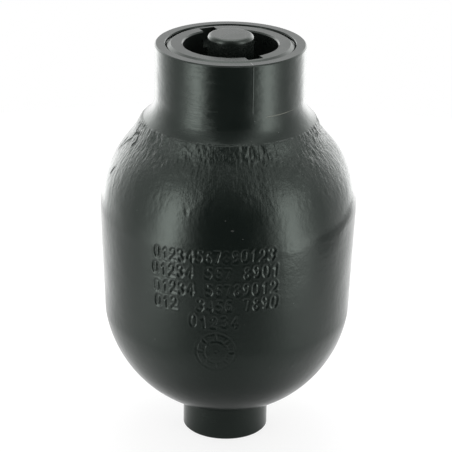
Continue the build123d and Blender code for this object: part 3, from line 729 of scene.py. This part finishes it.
def vessel_paint():
    """Satin black paint with a slight green cast, over forged and turned steel."""
    material, t = new_material("vessel_paint")
    vector, x, y, z, _ = t.place()
    azimuth = t.math("ARCTAN2", x, t.math("MULTIPLY", y, -1.0))
    cloud = t.noise(vector, 45, 4)
    # how deep a place lies in a fold: painted shade there, and rougher paint
    fold_shade = t.add("Attribute", attribute_name="fold_shade").outputs["Fac"]
    # neck, fillet and boss
    turned = t.math("ADD", t.rise(z, *TURNED_ABOVE), t.rise(z, *TURNED_BELOW, 1.0, 0.0), clamp=True)
    marks = (
        line_round(t, azimuth, z, SCRATCH_Z, SCRATCH_AZIMUTHS, 0.03, 0.00028),
        run_in_paint(t, azimuth, z),
        line_round(t, azimuth, z, FAINT_Z, FAINT_AZIMUTHS, 0.3, 0.00035),
    )
    strokes = brush_strokes(t, vector, azimuth, turned)

    color = paint_color(t, vector, azimuth, z, cloud, marks, fold_shade)
    normal = paint_relief(t, vector, azimuth, z, turned, strokes, marks)
    roughness = t.math("ADD", t.rise(cloud, 0.35, 0.7, *PAINT_ROUGH), t.math("MULTIPLY", fold_shade, 0.4))
    roughness = t.math("ADD", roughness, t.math("MULTIPLY", strokes, 0.11))
    t.surface(color, roughness, normal, tint=PAINT_TINT)
    return material


TURNING = 2400  # how fine the rings are that a lathe leaves
SCUFFED = (0.189, 0.191)  # heights over which the finish gets scuffed
WORN_BLACK, WORN_BRASS = (0.04, 0.042, 0.04), (0.35, 0.24, 0.1)
CAP_TOP = (0.1976, 0.198)  # heights over which the top of the cap begins
CAP_SCRATCH_Y = 2.5  # a thin scratch runs across the top of the cap there


def turned_metal(name, dark, light, rough, metallic=0.0, worn=None, tint=(1, 1, 1)):
    """Metal turned about the part's axis: fine rings on its faces and walls, and a mottled tone."""
    material, t = new_material(name)
    vector, x, y, z, flat = t.place()
    section = {"X": t.math("MULTIPLY", flat, TURNING), "Y": t.math("MULTIPLY", z, TURNING)}
    lines = t.noise(t.add("CombineXYZ", section).outputs[0], 1.0, 2, 0.7)
    cloud = t.noise(vector, 60, 5, 0.6)
    share = t.math("ADD", t.math("MULTIPLY", cloud, 0.75), t.math("MULTIPLY", lines, 0.25), clamp=True)
    color = t.mix(share, dark, light)
    if worn is not None:
        scuffs = t.math("MULTIPLY", t.rise(t.noise(vector, 700, 3), 0.6, 0.72), t.rise(z, *SCUFFED))
        color = t.mix(t.math("MULTIPLY", scuffs, 0.35), color, worn)
        bent = t.math("ADD", y, t.math("MULTIPLY", t.noise(vector, 150, 1), 0.003))
        off = t.math("ABSOLUTE", t.math("SUBTRACT", bent, CAP_SCRATCH_Y * MM))
        along = t.math("ABSOLUTE", t.math("ADD", x, 0.002))
        line = t.rise(off, 0.00008, 0.0003, 1.0, 0.0)
        line = t.math("MULTIPLY", line, t.rise(along, 0.003, 0.006, 1.0, 0.0))
        line = t.math("MULTIPLY", line, t.rise(z, *CAP_TOP))
        color = t.mix(t.math("MULTIPLY", line, 0.6), color, worn)
    normal = t.bump(lines, 0.4, 0.00004)
    normal = t.bump(t.noise(vector, 1100, 2), 0.2, 0.00003, normal)
    roughness = t.rise(cloud, 0.3, 0.7, rough - 0.05, rough + 0.07)
    t.surface(color, roughness, normal, metallic, tint)
    return material


def moulded(name, dark, light, rough, grain):
    """Moulded rubber or plastic: matt, with a fine grain and a faint bloom."""
    material, t = new_material(name)
    vector = t.place()[0]
    bloom = t.noise(vector, 70, 4)
    fine = t.noise(vector, grain, 3, 0.6)
    color = t.mix(bloom, dark, light)
    normal = t.bump(fine, 0.5, 0.00006)
    normal = t.bump(t.noise(t.stretched(vector, 0.2, 0.2, 1.0), 500, 2), 0.15, 0.00008, normal)
    t.surface(color, t.rise(bloom, 0.3, 0.7, rough - 0.06, rough + 0.06), normal)
    return material


def wire(name):
    """Drawn spring wire."""
    material, t = new_material(name)
    vector = t.place()[0]
    lines = t.noise(t.stretched(vector, 1.0, 1.0, 6.0), 1500, 3)
    color = t.mix(lines, (0.36, 0.36, 0.37), (0.56, 0.56, 0.57))
    t.surface(color, t.rise(lines, 0.3, 0.7, 0.24, 0.38), t.bump(lines, 0.3, 0.00002), 1.0)
    return material


def dress_nodes():
    """Gives each CAD node that stays the finish of its material slot."""
    # the dark and the light tone of each
    black = (0.006, 0.008, 0.007), (0.012, 0.015, 0.013)
    phosphate = (0.008, 0.009, 0.009), (0.015, 0.017, 0.016)
    brass = (0.56, 0.4, 0.16), (0.7, 0.54, 0.26)
    steel = (0.42, 0.42, 0.43), (0.56, 0.56, 0.56)
    bag = (0.022, 0.022, 0.022), (0.04, 0.04, 0.038)
    seal = (0.018, 0.018, 0.018), (0.03, 0.03, 0.03)
    backup = (0.78, 0.77, 0.72), (0.86, 0.85, 0.81)
    finishes = {
        "blackened_steel": turned_metal("blackened_steel", *black, 0.26, worn=WORN_BLACK, tint=PAINT_TINT),
        "phosphated_steel": turned_metal("phosphated_steel", *phosphate, 0.5),
        "brass": turned_metal("brass", *brass, 0.27, metallic=1.0, worn=WORN_BRASS),
        "button_steel": turned_metal("button_steel", *steel, 0.33, metallic=1.0),
        "spring_steel": wire("spring_steel"),
        "bag_rubber": moulded("bag_rubber", *bag, 0.62, 900),
        "seal_rubber": moulded("seal_rubber", *seal, 0.45, 1400),
        "backup_plastic": moulded("backup_plastic", *backup, 0.42, 1200),
    }
    for part in frame["record"]["subparts"]:
        if part["node"] == "shell":
            continue
        mesh = frame["nodes"][part["node"]].data
        mesh.materials.clear()
        mesh.materials.append(finishes[part["material_slot"]])


def stand_in(node, name):
    """A copy of a CAD node that is shown in its place, while the node is hidden."""
    piece = bpy.data.objects.new(name, frame["nodes"][node].data.copy())
    bpy.context.scene.collection.objects.link(piece)
    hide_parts(node)
    return piece


def follow_joints():
    """Shows copies of the bag and of the valve core's spring in place of their CAD nodes: the bag with its
    placement baked into its mesh, the spring on the vessel with a mesh of its own.
    """
    bag = stand_in("bladder", "gas_bag")
    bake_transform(bag)

    spring = stand_in("valve_core_spring", "core_spring")
    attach(spring, "vessel")
    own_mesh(spring)


# ---------------------------------------------------------------- light, floor and camera
# brightness of the studio's wall, from the back over the left, front and right to the back: (azimuth, level)
STUDIO = [
    (-180, 1.0), (-165, 2.0), (-150, 3.3), (-136, 2.8), (-120, 1.8), (-104, 1.05), (-88, 0.8), (-76, 1.1),
    (-67, 2.0), (-59, 3.3), (-52, 4.6), (-46, 3.5), (-39, 1.5), (-31, 0.45), (-22, 0.04), (0, 0.01),
    (22, 0.03), (33, 0.4), (43, 1.3), (50, 3.0), (57, 4.0), (65, 3.2), (75, 1.7),
    (88, 0.82), (104, 0.95), (120, 1.45), (136, 2.3), (150, 3.0), (165, 2.0), (180, 1.0),
]
# the other levels are alike on both sides, from the front to the back
SKY = [(0, 0.16), (30, 0.4), (60, 1.2), (90, 0.8), (180, 1.0)]
# the table that the part stands on, whose light and shade are painted into the floor's glow: far out,
# halfway, and round the part's foot
TABLE_FAR = [(0, 0.2), (30, 0.4), (60, 1.1), (90, 0.86), (108, 1.04), (122, 1.42), (160, 1.42), (180, 1.1)]
TABLE_NEAR = [(0, 0.36), (45, 0.67), (90, 0.95), (120, 1.1), (150, 0.9), (180, 0.5)]
TABLE_FOOT = [(0, 0.27), (20, 0.29), (45, 0.4), (70, 0.6), (100, 0.85), (130, 0.85), (180, 0.6)]
BRIGHTEST = 5.0  # more than any of these levels, as a colour ramp ends at 1
WALL_TOP = (18, 52)  # degrees up, over which the wall gives way to the sky
# distances from the part's axis over which the table's foot gives way to its middle, that to its far part,
# and that to the wall
FOOT_END, MIDDLE_END, TABLE_END = (0.047, 0.09), (0.135, 0.2), (0.225, 0.33)
# behind the part, from the first of these azimuths to the second, the table's end lies further out
BEHIND, BEHIND_REACH = (70, 115), 0.11


def by_azimuth(t, x, y, stops):
    """Brightness of the studio in the direction x, y, between the stops of one of the lists above."""
    turn = t.math("ARCTAN2", x, t.math("MULTIPLY", y, -1.0))
    if stops[0][0] == 0:
        stops = [(-azimuth, value) for azimuth, value in reversed(stops[1:])] + stops
    ramp = t.add("ValToRGB", {"Fac": t.math("ADD", t.math("DIVIDE", turn, 2 * pi), 0.5)})
    ramp.color_ramp.interpolation = "CARDINAL"
    elements = ramp.color_ramp.elements
    while len(elements) < len(stops):
        elements.new(1.0)
    for element, (azimuth, value) in zip(elements, stops):
        element.position = azimuth / 360 + 0.5
        element.color = (value / BRIGHTEST,) * 3 + (1,)
    return t.math("MULTIPLY", ramp.outputs["Color"], BRIGHTEST)


def fade(t, near, far, place, start, end):
    """near below start, far above end, and a smooth change between them."""
    share = t.rise(place, start, end)
    rest = t.math("SUBTRACT", 1.0, share)
    return t.math("ADD", t.math("MULTIPLY", near, rest), t.math("MULTIPLY", far, share))


def build_world():
    """White to the camera. To everything else a studio: dark in front, with two tall soft panels beside the
    camera, and lighter behind."""
    world = bpy.data.worlds.new("studio")
    bpy.context.scene.world = world
    t = Tree(world)
    direction = t.add("TexCoord").outputs["Generated"]
    x, y, z = t.add("SeparateXYZ", {0: direction}).outputs
    low, high = (sin(radians(a)) for a in WALL_TOP)
    light = fade(t, by_azimuth(t, x, y, STUDIO), by_azimuth(t, x, y, SKY), z, low, high)
    camera = t.add("LightPath").outputs["Is Camera Ray"]
    strength = t.math("ADD", camera, t.math("MULTIPLY", t.math("SUBTRACT", 1.0, camera), light))
    shader = t.add("Background", {"Color": (1, 1, 1, 1), "Strength": strength})
    output = t.add("OutputWorld")
    t.tree.links.new(shader.outputs[0], output.inputs["Surface"])


FLOOR_R = 0.48
FLOOR_TONE, FLOOR_GLOW = 0.25, 0.8  # its colour, and its own light, which keeps it pale beside the part
# painted shade on the right, a dark band in the table's glow in front of the wall's foot: where it starts and
# ends in X, its front end in Y
SHADE_BAND_START, SHADE_BAND_END, SHADE_BAND_FRONT = (0.235, 0.29), (0.36, 0.45), (-0.12, -0.04)
SHADE_BAND_DEPTH = 0.55


def build_floor():
    """A pale floor that keeps the object's soft shadow. In the gloss it shows as the studio's table, whose
    light and shade are painted into its glow by place.
    """
    corners = [(FLOOR_R * cos(a), FLOOR_R * sin(a), 0.0) for a in np.linspace(0, 2 * pi, 96, endpoint=False)]
    floor_piece = make_mesh("floor", np.array(corners), [tuple(range(96))])
    material, t = new_material("pale_floor")
    diffuse = t.add("BsdfDiffuse", {"Color": (FLOOR_TONE,) * 3 + (1,)})
    glow = t.add("Emission", {"Color": (1, 1, 1, 1), "Strength": FLOOR_GLOW})
    both = t.add("AddShader", {0: diffuse.outputs[0], 1: glow.outputs[0]})

    _, x, y, _, flat = t.place()
    light = fade(t, by_azimuth(t, x, y, TABLE_FOOT), by_azimuth(t, x, y, TABLE_NEAR), flat, *FOOT_END)
    light = fade(t, light, by_azimuth(t, x, y, TABLE_FAR), flat, *MIDDLE_END)
    turn = t.math("ABSOLUTE", t.math("ARCTAN2", x, t.math("MULTIPLY", y, -1.0)))
    further = t.rise(turn, radians(BEHIND[0]), radians(BEHIND[1]), 0.0, BEHIND_REACH)
    light = fade(t, light, by_azimuth(t, x, y, STUDIO), t.math("SUBTRACT", flat, further), *TABLE_END)
    # painted shade: the table's glow is dimmed in this band
    shade_band = t.math("MULTIPLY", t.rise(x, *SHADE_BAND_START), t.rise(x, *SHADE_BAND_END, 1.0, 0.0))
    shade_band = t.math("MULTIPLY", shade_band, t.rise(y, *SHADE_BAND_FRONT))
    light = t.math("MULTIPLY", light, t.math("SUBTRACT", 1.0, t.math("MULTIPLY", shade_band, SHADE_BAND_DEPTH)))
    # painted light and shade of the table, which glossy rays see in place of the floor
    table = t.add("Emission", {"Color": (1, 1, 1, 1), "Strength": light})
    glossy = t.add("LightPath").outputs["Is Glossy Ray"]
    mixed = t.add("MixShader", {0: glossy, 1: both.outputs[0], 2: table.outputs[0]})
    output = t.add("OutputMaterial")
    t.tree.links.new(mixed.outputs[0], output.inputs["Surface"])
    floor_piece.data.materials.append(material)


LAMP_PLACE, LAMP_AIM = (0.0, 0.35, 1.1), (0.0, 0.0, 0.1)
LAMP_SIZE = 0.7
LAMP_POWER = 3.0


def build_lamp():
    """One soft lamp overhead, behind the top of the part, for a gentle shadow."""
    light = bpy.data.lights.new("overhead", "AREA")
    light.size = LAMP_SIZE
    light.energy = LAMP_POWER
    lamp = bpy.data.objects.new("overhead", light)
    lamp.location = LAMP_PLACE
    lamp.rotation_euler = (Vector(LAMP_PLACE) - Vector(LAMP_AIM)).to_track_quat("Z", "Y").to_euler()
    lamp.visible_camera = False
    bpy.context.scene.collection.objects.link(lamp)


CAMERA_PLACE = (0.0, -0.964087, 0.493535)
CAMERA_PITCH = 22.041  # degrees down
CAMERA_YAW = -0.054
CAMERA_ROLL = 0.861
CAMERA_LENS = 174.26  # millimetres, on a 36 mm sensor


def build_camera():
    """The camera stands a metre in front, above the part, looks down at it, and is rolled a little."""
    pitch, yaw, roll = (radians(a) for a in (CAMERA_PITCH, CAMERA_YAW, CAMERA_ROLL))
    forward = Vector((sin(yaw) * cos(pitch), cos(yaw) * cos(pitch), -sin(pitch)))
    level_right = Vector((cos(yaw), -sin(yaw), 0))
    level_up = level_right.cross(forward)
    right = level_right * cos(roll) + level_up * sin(roll)
    up = level_up * cos(roll) - level_right * sin(roll)
    data = bpy.data.cameras.new("camera")
    data.lens = CAMERA_LENS
    camera = bpy.data.objects.new("camera", data)
    turn = Matrix((right, up, -forward)).transposed().to_4x4()
    camera.matrix_world = Matrix.Translation(CAMERA_PLACE) @ turn
    bpy.context.scene.collection.objects.link(camera)
    bpy.context.scene.camera = camera


# ---------------------------------------------------------------- the part
bpy.context.scene.view_settings.view_transform = "Standard"
build_camera()
build_world()
build_floor()
build_lamp()

vessel = build_shell()
vessel.data.materials.append(vessel_paint())
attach(vessel, "vessel")
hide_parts("shell")
dress_nodes()
follow_joints()
